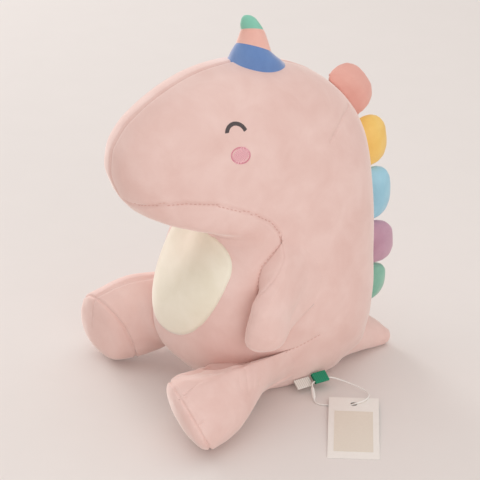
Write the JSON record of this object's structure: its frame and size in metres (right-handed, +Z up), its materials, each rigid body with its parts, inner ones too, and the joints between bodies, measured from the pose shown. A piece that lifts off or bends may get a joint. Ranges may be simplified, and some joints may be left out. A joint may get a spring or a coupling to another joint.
{
  "type": "stuffed dinosaur",
  "caption": "Sitting stuffed dinosaur of short plush with a striped horn, padded spine scales, arms and legs that swing at their seams, and a paper hang tag on a string loop.",
  "frame": {"origin": "on the floor in the flat base, on the centre plane, under the shoulders", "axes": "+Z up from the floor to the horn, -Y the way the face looks, +X the toy's left side"},
  "size_m": [0.3472, 0.3175, 0.3871],
  "materials": {
    "pink plush": "short pile",
    "pale patch plush": "short pile",
    "dark thread": "satin stitch",
    "cheek thread": "satin stitch",
    "polyester filling": "loose fibre",
    "blue plush": "short pile",
    "coral plush": "short pile",
    "mint plush": "short pile",
    "yellow plush": "short pile",
    "light blue plush": "short pile",
    "mauve plush": "short pile",
    "green plush": "short pile",
    "white satin ribbon": "satin",
    "green woven ribbon": "woven",
    "white card": "matt",
    "cream paper": "matt",
    "white nylon": "satin"
  },
  "bodies": {
    "toy body": {"left_side_panel": "pink plush", "right_side_panel": "pink plush", "chin_panel": "pink plush", "belly_panel": "pink plush", "base_panel": "pink plush", "head_filling": "polyester filling", "body_filling": "polyester filling", "belly_patch": "pale patch plush", "left_eye": "dark thread", "right_eye": "dark thread", "left_cheek": "cheek thread", "right_cheek": "cheek thread", "horn_base_band": "blue plush", "horn_middle_band": "coral plush", "horn_tip": "mint plush", "horn_filling": "polyester filling", "tail_cover": "pink plush", "tail_filling": "polyester filling", "care_label": "white satin ribbon", "seam_tab": "green woven ribbon", "tag_card": "white card", "tag_sticker": "cream paper", "tag_cord": "white nylon", "cord_lock": "white nylon"},
    "left arm": {"left_arm_outer": "pink plush", "left_arm_inner": "pink plush", "left_arm_filling": "polyester filling"},
    "right arm": {"right_arm_outer": "pink plush", "right_arm_inner": "pink plush", "right_arm_filling": "polyester filling"},
    "left leg": {"left_leg_outer": "pink plush", "left_leg_inner": "pink plush", "left_sole": "pink plush", "left_leg_filling": "polyester filling"},
    "right leg": {"right_leg_outer": "pink plush", "right_leg_inner": "pink plush", "right_sole": "pink plush", "right_leg_filling": "polyester filling"},
    "spine scale 1": {"scale_1_cover": "coral plush", "scale_1_filling": "polyester filling"},
    "spine scale 2": {"scale_2_cover": "yellow plush", "scale_2_filling": "polyester filling"},
    "spine scale 3": {"scale_3_cover": "light blue plush", "scale_3_filling": "polyester filling"},
    "spine scale 4": {"scale_4_cover": "mauve plush", "scale_4_filling": "polyester filling"},
    "spine scale 5": {"scale_5_cover": "green plush", "scale_5_filling": "polyester filling"}
  },
  "joints": [
    {"name": "left shoulder", "type": "hinge", "parent": "toy body", "child": "left arm", "pos_m": [0.08642, -0.027, 0.19905], "axis": [-0.0222, -0.9657, 0.2587], "range_deg": [0, 70]},
    {"name": "left hip", "type": "hinge", "parent": "toy body", "child": "left leg", "pos_m": [0.06929, -0.06486, 0.06694], "axis": [-0.4371, -0.8994, 0], "range_deg": [0, 30]},
    {"name": "right shoulder", "type": "hinge", "parent": "toy body", "child": "right arm", "pos_m": [-0.08642, -0.027, 0.19905], "axis": [-0.0222, 0.9657, -0.2587], "range_deg": [0, 70]},
    {"name": "right hip", "type": "hinge", "parent": "toy body", "child": "right leg", "pos_m": [-0.07361, -0.06394, 0.07891], "axis": [-0.4082, 0.9129, 0], "range_deg": [0, 30]},
    {"name": "spine scale 1 bend", "type": "hinge", "parent": "toy body", "child": "spine scale 1", "pos_m": [0, 0.08939, 0.28799], "axis": [0, 0.5863, -0.8101], "range_deg": [-25, 25], "stiffness_Nm_per_rad": 0.02},
    {"name": "spine scale 2 bend", "type": "hinge", "parent": "toy body", "child": "spine scale 2", "pos_m": [0, 0.1112, 0.2304], "axis": [0, 0.1627, -0.9867], "range_deg": [-25, 25], "stiffness_Nm_per_rad": 0.02},
    {"name": "spine scale 3 bend", "type": "hinge", "parent": "toy body", "child": "spine scale 3", "pos_m": [0, 0.11658, 0.17265], "axis": [0, 0.0467, -0.9989], "range_deg": [-25, 25], "stiffness_Nm_per_rad": 0.02},
    {"name": "spine scale 4 bend", "type": "hinge", "parent": "toy body", "child": "spine scale 4", "pos_m": [0, 0.11635, 0.11954], "axis": [0, 0.013, -0.9999], "range_deg": [-25, 25], "stiffness_Nm_per_rad": 0.02},
    {"name": "spine scale 5 bend", "type": "hinge", "parent": "toy body", "child": "spine scale 5", "pos_m": [0, 0.11758, 0.07063], "axis": [0, -0.0591, -0.9983], "range_deg": [-25, 25], "stiffness_Nm_per_rad": 0.02}
  ]
}
